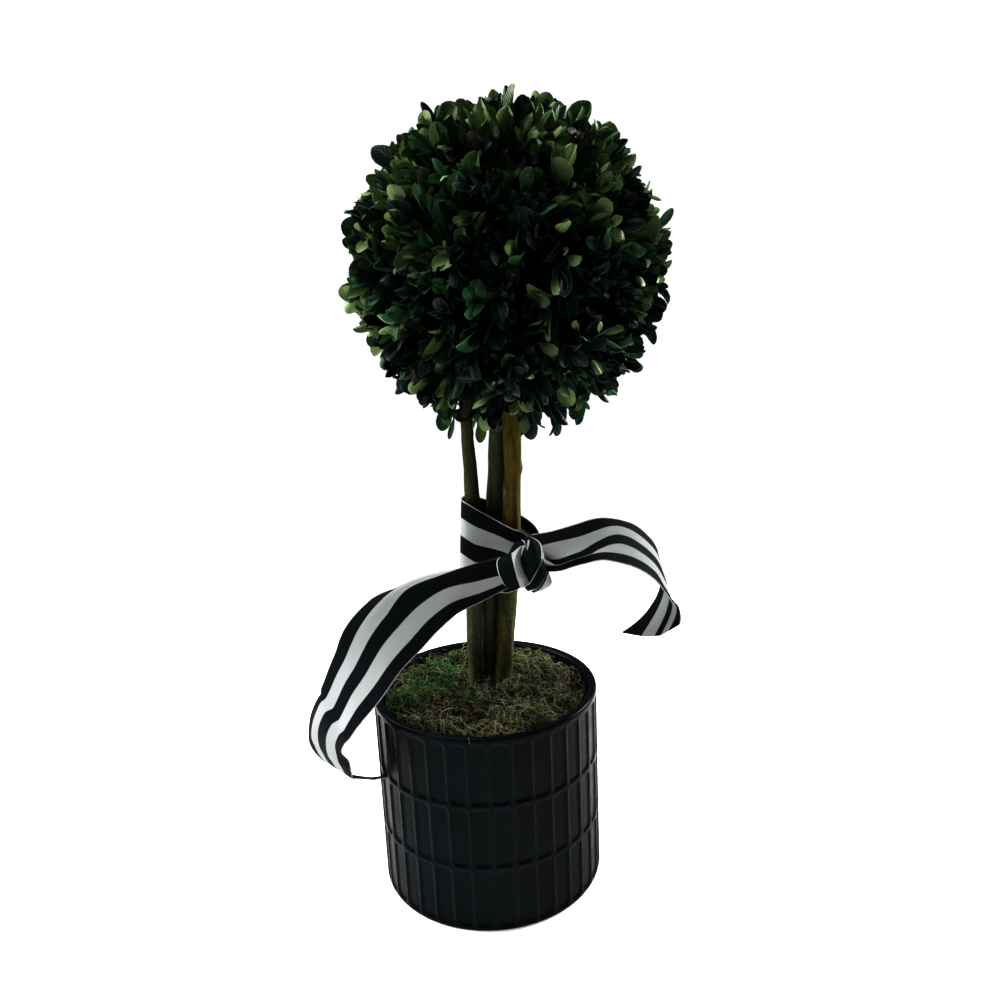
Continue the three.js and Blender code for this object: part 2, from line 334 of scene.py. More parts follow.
class Finish:
    """A material's nodes, with short calls for the ones that the finishes are made of."""

    def __init__(self, name, roughness=0.7, specular=0.3):
        self.material = bpy.data.materials.new(name)
        self.material.use_nodes = True
        self.tree = self.material.node_tree
        self.shader = self.tree.nodes["Principled BSDF"]
        self.shader.inputs["Roughness"].default_value = roughness
        self.shader.inputs["Specular IOR Level"].default_value = specular

    def add(self, kind, inputs=None, **settings):
        node = self.tree.nodes.new("ShaderNode" + kind)
        for name, value in settings.items():
            setattr(node, name, value)
        for name, value in (inputs or {}).items():
            self.put(node.inputs[name], value)
        return node

    def put(self, socket, value):
        if isinstance(value, bpy.types.NodeSocket):
            self.tree.links.new(value, socket)
        else:
            socket.default_value = value

    def set(self, name, value):
        self.put(self.shader.inputs[name], value)

    def place(self, stretch=(1, 1, 1)):
        """Where a point lies on the object, in metres, stretched along the axes."""
        where = self.add("TexCoord").outputs["Object"]
        mapped = self.add("Mapping", {"Vector": where, "Scale": stretch})
        return mapped.outputs["Vector"]

    def map(self, name):
        """The two coordinates of a named map."""
        uv = self.add("UVMap", uv_map=name).outputs["UV"]
        parts = self.add("SeparateXYZ", {"Vector": uv}).outputs
        return parts["X"], parts["Y"]

    def noise(self, vector, scale, detail=3, roughness=0.5):
        sockets = {"Vector": vector, "Scale": scale, "Detail": detail, "Roughness": roughness}
        return self.add("TexNoise", sockets).outputs["Fac"]

    def maths(self, operation, first, second=0.0):
        node = self.add("Math", operation=operation)
        self.put(node.inputs[0], first)
        self.put(node.inputs[1], second)
        return node.outputs["Value"]

    def plus(self, first, second):
        return self.maths("ADD", first, second)

    def times(self, first, second):
        return self.maths("MULTIPLY", first, second)

    def range(self, value, low, high, to_low=0.0, to_high=1.0):
        sockets = {"Value": value, "From Min": low, "From Max": high, "To Min": to_low, "To Max": to_high}
        return self.add("MapRange", sockets).outputs["Result"]

    def mix(self, share, first, second):
        node = self.add("Mix", data_type="RGBA")
        self.put(node.inputs["Factor"], share)
        self.put(node.inputs["A"], opaque(first))
        self.put(node.inputs["B"], opaque(second))
        return node.outputs["Result"]

    def bump(self, height, distance, strength=1.0):
        sockets = {"Height": height, "Distance": distance, "Strength": strength}
        self.set("Normal", self.add("Bump", sockets).outputs["Normal"])

    def coloured(self, colour):
        """The finished material."""
        self.set("Base Color", colour)
        return self.material


def opaque(colour):
    return (*colour, 1.0) if isinstance(colour, tuple) and len(colour) == 3 else colour


def glaze():
    """Black glaze with a faint unevenness and a few specks of dust."""
    look = Finish("black_glaze", roughness=0.25, specular=0.055)
    where = look.place()
    cloud = look.noise(where, 45)
    base = look.mix(look.range(cloud, 0.35, 0.65), (0.0034, 0.006, 0.0078), (0.0056, 0.0086, 0.0108))
    speck = look.range(look.noise(where, 900, 1), 0.785, 0.8)
    look.set("Roughness", look.range(look.noise(where, 120), 0.3, 0.7, 0.2, 0.34))
    look.bump(look.noise(where, 260, 2), 0.05 * MM, 0.5)
    return look.coloured(look.mix(speck, base, (0.08, 0.08, 0.075)))


def crumbly(name, roughness, specular, scale, spread, dark, light, relief):
    """A dull ground of fine grains from one colour to another."""
    look = Finish(name, roughness, specular)
    grain = look.noise(look.place(), scale, 6)
    look.bump(grain, relief)
    return look.coloured(look.mix(look.range(grain, 0.5 - spread, 0.5 + spread), dark, light))


def strand(name, root, tip):
    """A fibre or twig that goes from one colour to another along its length."""
    look = Finish(name, roughness=0.85, specular=0.12)
    along = look.map("OFBake")[1]
    return look.coloured(look.mix(look.range(along, 0.15, 0.85), root, tip))


def bark(name, streaks, dark, light, stain, foot):
    """Smooth young bark: long streaks, stained blotches, small dark scars, and a foot with blotches of its
    own colour and pale specks; on the olive bark that foot colour is darker, painted shade under the ribbon.
    """
    look = Finish(name, roughness=0.6, specular=0.2)
    streak = look.noise(look.place((1, 1, 0.12)), streaks, 5, 0.6)
    blotch = look.noise(look.place((1, 1, 0.5)), 130, 4, 0.6)
    scars = look.noise(look.place((1, 1, 0.6)), 420, 2)
    where = look.place()
    specks = look.noise(where, 1100, 2)
    height = look.add("SeparateXYZ", {"Vector": where}).outputs["Z"]
    base = look.mix(look.range(streak, 0.3, 0.7), dark, light)
    base = look.mix(look.range(blotch, 0.5, 0.68, 0, 0.8), base, stain)
    base = look.mix(look.range(scars, 0.66, 0.72, 0, 0.7), base, (0.012, 0.011, 0.006))
    # Blotches of the foot colour below the ribbon: the lower bark's own mottling, and on the olive stem
    # painted shade under the ribbon.
    near_foot = look.range(height, 0.15, 0.2, 0.95, 0)
    base = look.mix(look.times(look.range(blotch, 0.3, 0.6), near_foot), base, foot)
    low_down = look.range(height, 0.108, 0.19, 0.85, 0.06)
    speckled = look.times(look.range(specks, 0.48, 0.6), low_down)
    look.bump(look.plus(streak, look.times(specks, 0.6)), 0.35 * MM, 0.8)
    return look.coloured(look.mix(speckled, base, (0.15, 0.165, 0.09)))


def leaf(name, blade, deep, rim):
    """A leathery leaf: a pale midrib, a pale edge that is partly the margin's own tone and partly painted
    highlight where light catches the curled rim, and faint side veins.
    """
    look = Finish(name, roughness=0.42, specular=0.13)
    across, along = look.map("OFBake")
    side = look.maths("ABSOLUTE", look.maths("SUBTRACT", across, 0.5))
    slant = look.plus(along, look.times(side, -0.5))
    veins = look.maths("SINE", look.times(slant, 60))
    base = look.mix(look.range(veins, -1, 1, 0, 0.5), blade, deep)
    base = look.mix(look.range(along, 0.0, 0.6, 0.7, 0), base, deep)
    midrib = look.range(side, 0.02, 0.045, 0.32, 0)
    # The pale edge is the margin's own paler tone brightened as painted highlight where light catches the
    # curled rim; its strength varies at random.
    edge = look.maths("MAXIMUM", look.range(side, 0.445, 0.48), look.range(along, 0.97, 0.995))
    uneven_margin_highlight = look.range(look.noise(look.place(), 90, 1), 0.4, 0.6, 0.15, 1)
    pale = look.maths("MAXIMUM", midrib, look.times(edge, uneven_margin_highlight))
    look.bump(look.plus(veins, look.times(midrib, -3)), 0.06 * MM, 0.5)
    return look.coloured(look.mix(pale, base, rim))


def ribbon_cloth():
    """Five even stripes, black outside, with a thin white selvedge and a fine rib across the cloth."""
    look = Finish("ribbon_cloth", roughness=0.75, specular=0.07)
    along, across = look.map("cloth")
    ribs = look.times(along, TAU * RIBBON_RIBS)
    rib = look.maths("SINE", ribs)
    twill = look.maths("SINE", look.plus(ribs, look.times(across, TAU * RIBBON_TWILL)))
    ragged = look.plus(across, look.times(rib, 0.0028))
    stripe = look.range(look.maths("SINE", look.times(ragged, 5 * math.pi)), -0.05, 0.05, 1, 0)
    from_middle = look.maths("ABSOLUTE", look.maths("SUBTRACT", across, 0.5))
    selvedge = look.range(from_middle, 0.487, 0.489)
    white = look.maths("MAXIMUM", stripe, selvedge)
    weave = look.plus(look.times(rib, 0.6), look.times(twill, 0.4))
    shade = look.range(weave, -1, 1)
    pale = look.mix(shade, (0.28, 0.29, 0.295), (0.53, 0.54, 0.545))
    dark = look.mix(shade, (0.001, 0.002, 0.0026), (0.009, 0.014, 0.0165))
    look.bump(weave, 0.12 * MM, 0.5)
    return look.coloured(look.mix(white, dark, pale))


# ---- pot


def tier_heights():
    """(low, high) of each tier of flutes."""
    pitch = (FLUTES_TO - FLUTES_FROM) / TIERS
    lows = [FLUTES_FROM + tier * pitch + TIER_RING / 2 for tier in range(TIERS)]
    return [(low, low + pitch - TIER_RING) for low in lows]


def flute_depth(angle, height):
    """How deep the scooped flutes are at places on the pot's wall."""
    pitch = TAU / FLUTES
    across = np.abs((angle / pitch) % 1 - 0.5) * pitch * POT_RADIUS
    depth = np.zeros(np.broadcast(angle, height).shape)
    half_width = (pitch * POT_RADIUS - FLUTE_RIB) / 2
    for low, high in tier_heights():
        up = np.abs(height - (low + high) / 2)
        beside = across - (half_width - FLUTE_CORNER)
        above = up - ((high - low) / 2 - FLUTE_CORNER)
        outside = np.hypot(np.maximum(beside, 0), np.maximum(above, 0))
        inside = FLUTE_CORNER - outside - np.minimum(np.maximum(beside, above), 0)
        scoop = np.sin(np.clip(inside / FLUTE_SLOPE, 0, 1) * math.pi / 2)
        pool = 1 + POOL_DEPTH * np.exp(-np.maximum(height - low - POOL_HEIGHT, 0) / POOL_HEIGHT)
        depth = np.maximum(depth, FLUTE_DEPTH * scoop * pool)
    return depth


def wall_heights():
    """Heights of the rows of the fluted wall, closer together at each tier's ends."""
    share = evenly(TIER_ROWS + 1)
    eased = share - ROW_EASE * np.sin(TAU * share) / TAU
    return np.concatenate([low + (high - low) * eased for low, high in tier_heights()])


def pot_profile():
    """(radius, height, fluted) rows from the middle of the underside up, over the lip and in."""
    bevel = np.linspace(0, math.pi / 2, 5)
    inner = POT_RADIUS - POT_WALL
    rows = [(0.0, 0.0, 0), (POT_RADIUS * 0.5, 0.0, 0)]
    rows += [(POT_RADIUS - POT_BEVEL * (1 - math.sin(t)), POT_BEVEL * (1 - math.cos(t)), 0) for t in bevel]
    rows += [(POT_RADIUS, height, 1) for height in wall_heights()]
    rows += lip_rows(inner)
    rows += [(inner, POT_FLOOR + FLOOR_ROW, 0), (inner, POT_FLOOR, 0), (0.0, POT_FLOOR, 0)]
    return np.array(rows)


def lip_rows(inner):
    """A soft shoulder above the flutes, a rounded outer edge, a nearly flat top and a rounded inner edge."""
    bend = np.linspace(0, math.pi / 2, 8)
    arc = [(LIP_ROUND * (1 - math.cos(t)), LIP_ROUND * (1 - math.sin(t))) for t in bend]
    rows = [(POT_RADIUS, FLUTES_TO + LIP_SHOULDER, 0)]
    rows += [(POT_RADIUS - near, POT_HEIGHT - far, 0) for near, far in arc]
    rows += [(inner + far, POT_HEIGHT - LIP_FALL - near, 0) for near, far in arc]
    rows += [(inner, POT_HEIGHT - LIP_INSIDE, 0)]
    return rows


def flute_angles():
    """Angles of the wall's columns, closer together at the ribs."""
    share = np.arange(FLUTE_COLUMNS) / FLUTE_COLUMNS
    eased = share - COLUMN_EASE * np.sin(TAU * share) / TAU
    return np.concatenate([(flute + eased) * TAU / FLUTES for flute in range(FLUTES)])


def make_pot():
    profile = pot_profile()
    angles = flute_angles()
    radius, height, fluted = (profile[:, i : i + 1] for i in range(3))
    cut = radius - fluted * flute_depth(angles[None], height)
    quads = grid_quads(len(profile), len(angles), closed=True)
    pot = add_piece("pot_glazed", polar(cut, angles, height), quads, glaze())
    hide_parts("pot")


# The darkest and lightest grains of the fill and of the moss's ground. The moss ground's grains are
# near-black as painted shade in the gaps under the fibres.
FILL = ((0.02, 0.014, 0.01), (0.07, 0.05, 0.035))
MOSS_GROUND = ((0.004, 0.004, 0.002), (0.014, 0.014, 0.006))


def finish_fill():
    """The CAD's fill keeps its shape, and gets a finish of its own."""
    material = crumbly("planting_fill", 0.95, 0.1, 400, 0.2, *FILL, 0.8 * MM)
    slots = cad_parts["pot_fill"].data.materials
    slots.clear()
    slots.append(material)


# ---- moss


# Each tint's colours at a fibre's root and tip. The near-black root colour is painted shade down in the
# tangle; the tip colour is the fibre's own.
MOSS_TINTS = {
    "moss_fibres_olive": ((0.005, 0.006, 0.0025), (0.34, 0.36, 0.21)),
    "moss_fibres_brown": ((0.004, 0.0035, 0.002), (0.10, 0.088, 0.055)),
    "moss_fibres_yellow": ((0.010, 0.010, 0.0035), (0.50, 0.49, 0.25)),
    "moss_fibres_green": ((0.0025, 0.008, 0.0025), (0.10, 0.235, 0.072)),
    "moss_fibres_russet": ((0.015, 0.008, 0.006), (0.28, 0.17, 0.12)),
}
OLIVE, BROWN, YELLOW, GREEN, RUSSET = range(len(MOSS_TINTS))
# Middle and reach of each coloured patch, seen from above, in millimetres.
GREEN_PATCHES = (((-29, 2), 17), ((-8, -14), 9), ((-22, 26), 18), ((-44, -10), 10))
YELLOW_PATCHES = (((4, -50), 16), ((-12, 40), 12))
RUSSET_PATCHES = (((46, -8), 8), ((29, -48), 9), ((-24, -34), 8))
DARK_GAPS = (((36, 46), 6), ((45, 33), 6), ((52, 6), 5), ((-51, 6), 6), ((4, -30), 4), ((-48, -24), 5))
# The one fibre that hangs over the rim in front.
STRAY_FIBRE = [(-9.5, -57.5, 107), (-9.4, -60, 110.8), (-9.2, -62.3, 110.8), (-9, -62.9, 108.4)]


def patch(spots, x, y):
    """How strongly each place lies in a group of patches, from 0 to 1."""
    total = np.zeros(np.shape(x))
    for (middle_x, middle_y), reach in spots:
        away = np.hypot(x - middle_x * MM, y - middle_y * MM) / (reach * MM)
        total = np.maximum(total, np.exp(-(away**4)))
    return total


def moss_height(x, y):
    """Height of the lumpy dome."""
    radius = np.hypot(x, y)
    dome = np.cos(np.clip(radius / MOSS_RADIUS, 0, 1) * math.pi / 2)
    level = np.stack([x, y, 0 * x], -1).reshape(-1, 3)
    lumps = ripple(level, MOSS_LUMP_SIZE, 5, 3).reshape(np.shape(x))
    hollow = patch(DARK_GAPS, x, y) * MOSS_HOLLOW
    return MOSS_EDGE + (MOSS_HIGH.z - MOSS_EDGE - MOSS_LUMP) * dome + MOSS_LUMP * lumps * 0.6 - hollow


def make_moss_ground():
    top = polar(evenly(MOSS_RINGS)[:, None] * MOSS_RADIUS, turns(MOSS_COLUMNS), 0.0)
    top[..., 2] = moss_height(top[..., 0], top[..., 1])
    edge = top[-1:].copy()
    edge[..., 2] = MOSS_LOW.z
    middle = edge * [0, 0, 1]
    places = np.concatenate([top, edge, middle])
    quads = grid_quads(MOSS_RINGS + 2, MOSS_COLUMNS, closed=True)
    # The ground's near-black grains are painted shade under the fibres.
    material = crumbly("moss_ground", 1.0, 0.05, 500, 0.15, *MOSS_GROUND, 1.0 * MM)
    ground = add_piece("moss_ground", places, quads, material)
    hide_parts("moss")


def fibre_lines(dice, count):
    """Curled lines that wander over the dome, as an array of points."""
    radius = MOSS_RADIUS * FIBRE_SPREAD * np.sqrt(dice.uniform(0, 1, count))
    turn = dice.uniform(0, TAU, count)
    here = polar(radius, turn, 0.0)
    sunk = patch(DARK_GAPS, here[:, 0], here[:, 1])
    here[:, 2] = moss_height(here[:, 0], here[:, 1]) - FIBRE_SUNK
    heading = dice.uniform(0, TAU, count)
    climb = dice.uniform(*FIBRE_CLIMB, count)
    bend = dice.normal(0, FIBRE_BEND, count)
    step = dice.uniform(*FIBRE_LENGTH, count) * (1 - GAP_SHORTENING * sunk) / (FIBRE_POINTS - 1)
    lines = [here]
    for _ in range(FIBRE_POINTS - 1):
        here = here + polar(np.cos(climb), heading, np.sin(climb)) * step[:, None]
        reach = np.hypot(here[:, 0], here[:, 1])
        shrink = np.minimum(1, MOSS_RADIUS * FIBRE_REACH / np.maximum(reach, 1e-9))
        here[:, :2] *= shrink[:, None]
        here[:, 2] = np.maximum(here[:, 2], moss_height(here[:, 0], here[:, 1]) + FIBRE_CLEAR)
        lines.append(here)
        heading = heading + bend + dice.normal(0, FIBRE_WANDER, count)
        climb = climb - dice.uniform(*FIBRE_FALL, count)
    return np.stack(lines, 1)


def fibre_rings(lines, radius):
    """Thin three-sided tubes round many lines at once."""
    along = unit(np.gradient(lines, axis=1))
    side = unit(np.cross(along, UP + 1e-3))
    taper = np.linspace(1, FIBRE_TAPER, lines.shape[1])[None, :, None, None]
    round_it = ring(side, np.cross(along, side), FIBRE_SIDES)
    return lines[:, :, None] + round_it * taper * radius[:, None, None, None]


def add_fibres(name, material, lines, radius):
    places = fibre_rings(lines, radius)
    count, points, sides, _ = places.shape
    quads = repeated(grid_quads(points, sides, closed=True), count, points * sides)
    share = np.tile(np.repeat(evenly(points), sides), count)
    uvs = np.stack([np.full(len(share), 0.5), share], -1)
    add_piece(name, places, quads, material, uvs)


def moss_tint(dice, x, y):
    """Which tint each fibre takes: patches of green, yellow and russet, the rest mixed in drifts."""
    drift = ripple(np.stack([x, y, 0 * x], -1), 45 * MM, 11, 2)
    chances = (
        (BROWN, 0.35 - 0.25 * drift),
        (YELLOW, 0.14 + 0.14 * drift + 0.4 * patch(YELLOW_PATCHES, x, y)),
        (RUSSET, 0.04 + 0.6 * patch(RUSSET_PATCHES, x, y)),
        (GREEN, 0.04 + 0.8 * patch(GREEN_PATCHES, x, y)),
    )
    tint = np.full(len(x), OLIVE)
    for number, chance in chances:
        tint = np.where(dice.uniform(0, 1, len(x)) < chance, number, tint)
    return tint


def make_moss():
    make_moss_ground()
    dice = np.random.default_rng(21)
    lines = fibre_lines(dice, FIBRES)
    tints = moss_tint(dice, lines[:, 0, 0], lines[:, 0, 1])
    radius = FIBRE_RADIUS * dice.uniform(*FIBRE_THICKNESS, FIBRES)
    lines[0] = curve(np.array(STRAY_FIBRE) * MM, evenly(FIBRE_POINTS))[0]
    tints[0] = OLIVE
    for number, (name, (root, tip)) in enumerate(MOSS_TINTS.items()):
        chosen = tints == number
        add_fibres(name, strand(name, root, tip), lines[chosen], radius[chosen])


# ---- stems


def stem_line(node):
    """The middle and radius of each ring of vertices on a CAD stem, from its foot up."""
    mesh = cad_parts[node].data
    places = np.unique(np.round([v.co for v in mesh.vertices], 7), axis=0)
    places = places[np.argsort(places[:, 2])]
    breaks = np.flatnonzero(np.diff(places[:, 2]) > CAD_RING_GAP) + 1
    rings = np.split(places, breaks)
    middles = np.array([(ring.min(0) + ring.max(0)) / 2 for ring in rings])
    radii = np.array([np.ptp(ring[:, 0]) / 2 for ring in rings])
    return middles, radii


def stem_relief(places, turn, height, seed):
    """How far the bark stands out: long ridges, swellings and a few knots."""
    dice = np.random.default_rng(seed)
    stretched = places * [1, 1, BARK_RIDGE_STRETCH]
    relief = BARK_RIDGE * ripple(stretched, BARK_RIDGE_SIZE, seed, 4)
    relief += BARK_SWELLING * ripple(places, BARK_SWELLING_SIZE, seed + 1, 2)
    for _ in range(BARK_KNOTS):
        knot_height = dice.uniform(*BARK_KNOT_SPAN)
        knot_turn = dice.uniform(0, TAU)
        away = np.cos(turn - knot_turn) - 1
        knot = np.exp(6 * away - ((height - knot_height) / BARK_KNOT_REACH) ** 2)
        relief += dice.uniform(*BARK_KNOT_SIZE) * MM * knot
    return relief


def make_stem(node, material, seed, thicker, aside, bump=None):
    """A stem's bark. thicker and aside say how much it grows and shifts from foot to top, in millimetres."""
    middles, radii = stem_line(node)
    shares = evenly(STEM_ROWS)
    centre, along = curve(middles, shares)
    radius = np.interp(shares, evenly(len(radii)), radii)
    radius += np.interp(shares, [0, 1], thicker) * MM
    centre[:, 0] += np.interp(shares, [0, 0.5, 1], aside) * MM
    right = unit(np.cross([0, 1.0, 0], along))
    outward = ring(right, np.cross(along, right), STEM_COLUMNS)
    flat = (centre[:, None] + outward * radius[:, None, None]).reshape(-1, 3)
    turn = np.tile(turns(STEM_COLUMNS), STEM_ROWS)
    relief = stem_relief(flat, turn, flat[:, 2], seed)
    if bump:
        bump_turn, bump_height, bump_size = bump
        near = 5 * (np.cos(turn - bump_turn) - 1) - ((flat[:, 2] - bump_height) / BUMP_REACH) ** 2
        relief += bump_size * np.exp(near)
    places = flat + outward.reshape(-1, 3) * relief[:, None]
    stem = add_piece(node + "_bark", places, grid_quads(STEM_ROWS, STEM_COLUMNS, True), material)
    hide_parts(node)


# Of each bark: how fine its streaks are, and the colours of its streaks (dark and light), stains and foot.
# The foot colour is the mottled lower bark's own tone; the olive bark's darker foot is also painted shade
# under the ribbon.
BARKS = {
    "dark": (500, (0.018, 0.018, 0.004), (0.062, 0.064, 0.018), (0.024, 0.026, 0.01), (0.084, 0.096, 0.043)),
    "green": (450, (0.018, 0.022, 0.007), (0.068, 0.08, 0.03), (0.036, 0.028, 0.016), (0.052, 0.057, 0.027)),
    "olive": (420, (0.05, 0.038, 0.0015), (0.18, 0.142, 0.008), (0.046, 0.046, 0.003), (0.03, 0.038, 0.012)),
}


def make_stems():
    dark, green, olive = (bark("bark_" + name, *look) for name, look in BARKS.items())
    make_stem("stem_left", dark, 31, (0.3, 0.1), (0, 0, 0))
    make_stem("stem_middle", green, 47, (1.0, 0.9), (0.2, 1.0, 1.2))
    make_stem("stem_right", olive, 59, (0.3, 0.3), (-1.3, 0, 0), (0.0, 231 * MM, 0.9 * MM))


# ---- leaves


def leaf_shape(along):
    """Half width of a spoon-shaped leaf, as a share of its widest."""
    along = np.asarray(along)
    rising = np.sin(math.pi / 2 * np.clip(along / LEAF_WIDEST, 0, 1)) ** 1.25
    falling = np.sqrt(np.clip(1 - ((along - LEAF_WIDEST) / (1 - LEAF_WIDEST)) ** 2, 0, 1))
    return np.where(along < LEAF_WIDEST, np.maximum(rising, 0.05), np.maximum(falling, 0.2))


def leaf_places(leaves):
    """Vertices of many leaves at once, as (leaf, row, column, xyz)."""
    along = np.array(LEAF_ROWS)[None, :, None, None]
    column = np.array(LEAF_COLUMNS)[None, None, :, None]
    numbers = (leaves[key][:, None, None, None] for key in ("length", "width", "bend", "cup", "twist"))
    length, width, bend, cup, twist = numbers
    base, ahead, face = (leaves[key][:, None, None] for key in ("base", "ahead", "face"))
    bend = np.where(np.abs(bend) < 1e-3, 1e-3, bend)
    spine = base + length * (ahead * np.sin(bend * along) + face * (1 - np.cos(bend * along))) / bend
    side = np.cross(ahead, face)
    normal = face * np.cos(bend * along) - ahead * np.sin(bend * along)
    twist = twist * along
    across = side * np.cos(twist) + normal * np.sin(twist)
    outward = normal * np.cos(twist) - side * np.sin(twist)
    half = width / 2 * leaf_shape(along)
    angle = cup * column
    sideways = half * np.sin(angle) / cup
    lift = half * (1 - np.cos(angle)) / cup + half * np.abs(column) * LEAF_FOLD
    return spine + across * sideways + outward * lift


def sphere_points(count):
    """Directions spread evenly over a sphere."""
    height = 1 - (2 * np.arange(count) + 1) / count
    turn = math.pi * (3 - math.sqrt(5)) * np.arange(count)
    return polar(np.sqrt(1 - height**2), turn, height)


def make_sprigs(dice, count, reach, spread):
    """Where each sprig starts, which way it points and how long it is, all round the ball."""
    out = unit(sphere_points(count) + dice.normal(0, SPRIG_SHIFT, (count, 3)))
    lean = unit(out + dice.normal(0, SPRIG_TILT, (count, 3)))
    tips = BALL_CENTRE + out * (BALL_RADII * reach + dice.normal(0, spread, count)[:, None])
    pairs = dice.integers(PAIRS[0], PAIRS[1] + 1, count)
    gap = dice.uniform(*PAIR_GAP, count)
    length = gap * (pairs - 1) + SPRIG_FOOT
    base = tips - lean * length[:, None]
    kept = dice.uniform(0, 1, count) > np.where(out[:, 2] < BALL_FOOT, THIN_BELOW, 0)
    return [
        dict(base=base[i], lean=lean[i], pairs=int(pairs[i]), gap=gap[i], inner=reach < 1)
        for i in np.flatnonzero(kept)
    ]


def sprig_leaves(dice, sprig):
    """The leaves of one sprig: opposite pairs, each pair a quarter turn on, closing up towards the tip."""
    lean = sprig["lean"]
    side = unit(np.cross(lean, unit(dice.normal(size=3))))
    other = np.cross(lean, side)
    start = dice.uniform(0, TAU)
    grown = dice.uniform(*LEAF_GROWTH)
    wide, narrow = INNER_OPEN_ANGLES if sprig["inner"] else OPEN_ANGLES
    rows = []
    for pair in range(sprig["pairs"]):
        share = pair / (sprig["pairs"] - 1)
        for half in range(2):
            turn = start + pair * TAU / 4 + half * TAU / 2 + dice.normal(*LEAF_TURN)
            away = side * math.cos(turn) + other * math.sin(turn)
            open_angle = np.interp(share, [0, 1], [wide, narrow]) + dice.normal(*LEAF_OPEN)
            ahead = lean * math.cos(open_angle) + away * math.sin(open_angle)
            face = lean * math.sin(open_angle) - away * math.cos(open_angle)
            roll = dice.normal(*LEAF_ROLL)
            face = face * math.cos(roll) + np.cross(ahead, face) * math.sin(roll)
            length = dice.uniform(*LEAF_LENGTH) * grown * np.interp(share, [0, 0.6, 1], [1, 1, TIP_LEAF])
            rows.append(
                dict(
                    base=sprig["base"] + lean * sprig["gap"] * pair,
                    ahead=ahead,
                    face=face,
                    length=length,
                    width=length * LEAF_SHAPE * dice.uniform(*LEAF_BREADTH),
                    bend=dice.normal(*LEAF_BEND),
                    cup=np.clip(abs(dice.normal(*LEAF_CUP)), *CUP_LIMITS),
                    twist=dice.normal(*LEAF_TWIST),
                )
            )
    return rows


# Each tint's blade, deep and rim colours and its chance. The rim colour paints the midrib and the pale edge;
# on the edge it is partly the margin's own tone and partly painted highlight.
LEAF_TINTS = {
    "foliage_leaves_deep": ((0.0072, 0.027, 0.021), (0.0044, 0.017, 0.0135), (0.16, 0.19, 0.15), 0.38),
    "foliage_leaves_green": ((0.034, 0.122, 0.044), (0.018, 0.068, 0.026), (0.24, 0.32, 0.21), 0.32),
    "foliage_leaves_olive": ((0.105, 0.175, 0.060), (0.054, 0.096, 0.034), (0.26, 0.31, 0.21), 0.19),
    "foliage_leaves_bright": ((0.28, 0.385, 0.17), (0.14, 0.215, 0.095), (0.40, 0.48, 0.30), 0.09),
    "foliage_leaves_brown": ((0.046, 0.042, 0.024), (0.024, 0.022, 0.013), (0.15, 0.14, 0.11), 0.02),
    # The inner tint is the deep tint made darker: painted shade inside the ball.
    "foliage_leaves_inner": ((0.0062, 0.023, 0.018), (0.0037, 0.014, 0.011), (0.14, 0.17, 0.135), 0.0),
}
BRIGHT, INNER = 3, 5
# The side the lamps light, where lighter tints are dealt as painted light, how far each tint belongs there,
# and how far the front's middle is dealt darker tints as painted shade.
LIT_SIDE = (-0.45, 0.3, 1.1)
LEAST_LIT = -0.35
LIT_LEANING = (-2.2, 0.5, 1.3, 1.3, 0, 0)
FRONT_SHADE_FROM = 0.7
FRONT_SHADING = 2
# Tint, foot, tip and width of each stray leaf in millimetres, and its turn from facing the front.
STRAYS = [
    (0, (-6, -12, 393), (-17, -14, 407), 5, 0.5),
    (3, (-2, -12, 394), (-4, -14, 408), 13, 0.2),
    (2, (68, -12, 382), (73, -14, 396), 11, -0.3),
    (0, (68, -12, 373), (82, -14, 377), 12, 0.1),
    (1, (92, -12, 345), (100, -14, 358), 6, 0.6),
    (2, (86, -12, 335), (99, -14, 340), 13, 0.2),
    (1, (-44, -12, 350), (-57, -14, 356), 11, 0.2),
    (0, (-45, -12, 348), (-57, -14, 350), 10, -0.8),
    (2, (80, -12, 302), (83, -14, 289), 11, 0.2),
    (4, (86, -12, 314), (95, -14, 304), 10, -0.2),
    (1, (50, -12, 271), (56, -14, 259), 9, 0.3),
    (1, (61, -12, 278), (59, -14, 267), 5, 0.9),
    (1, (-11.5, -12, 269), (-15, -14, 255), 8, 0.2),
    (0, (-8.5, -6, 262), (-10.5, -8, 249.5), 4, 0.8),
    (2, (6, -12, 262), (4.2, -14, 248), 6, 0.3),
    (1, (28, -12, 262), (30.5, -14, 248.5), 8, 0.2),
    (2, (11, -14, 268), (12.5, -16, 253), 8, 0.1),
]
# The spans at the ball's foot, seen from the front, where nothing hangs before the stems: sides and top.
BARE_SPANS = ((-9, 2.5, 272), (13, 27, 273))


def stray_leaves():
    """The single leaves that stand out of the ball's outline."""
    rows = []
    for _, foot, tip, width, facing in STRAYS:
        foot, tip = np.array(foot) * MM, np.array(tip) * MM
        ahead = unit(tip - foot)
        level = unit(np.cross(ahead, [0, -1.0, 0]))
        face = np.cross(level, ahead) * math.cos(facing) + level * math.sin(facing)
        length = np.linalg.norm(tip - foot)
        shape = dict(bend=0.3, cup=0.4, twist=0.1)
        rows.append(dict(base=foot, ahead=ahead, face=face, length=length, width=width * MM, **shape))
    return rows


def hides_stem(place):
    """Whether a leaf or twig here would hang before the bare part of a stem."""
    x, y, z = place
    nearer = CAMERA_PLACE[1] / (CAMERA_PLACE[1] - y)
    x, z = x * nearer, CAMERA_PLACE[2] + (z - CAMERA_PLACE[2]) * nearer
    return y < 0 and any(left * MM < x < right * MM and z < top * MM for left, right, top in BARE_SPANS)


def sprig_tint(dice, sprig, chances):
    """A sprig's leaf colour: darker tints low down and in the front's middle as painted shade, lighter ones
    high and left as painted light.
    """
    front_shade = FRONT_SHADING * max(-sprig["lean"][1] - FRONT_SHADE_FROM, 0)
    lit_share = max(sprig["lean"] @ LIT_SIDE, LEAST_LIT) - front_shade
    weights = np.array(chances) * np.exp(lit_share * np.array(LIT_LEANING))
    return dice.choice(len(chances), p=weights / weights.sum())


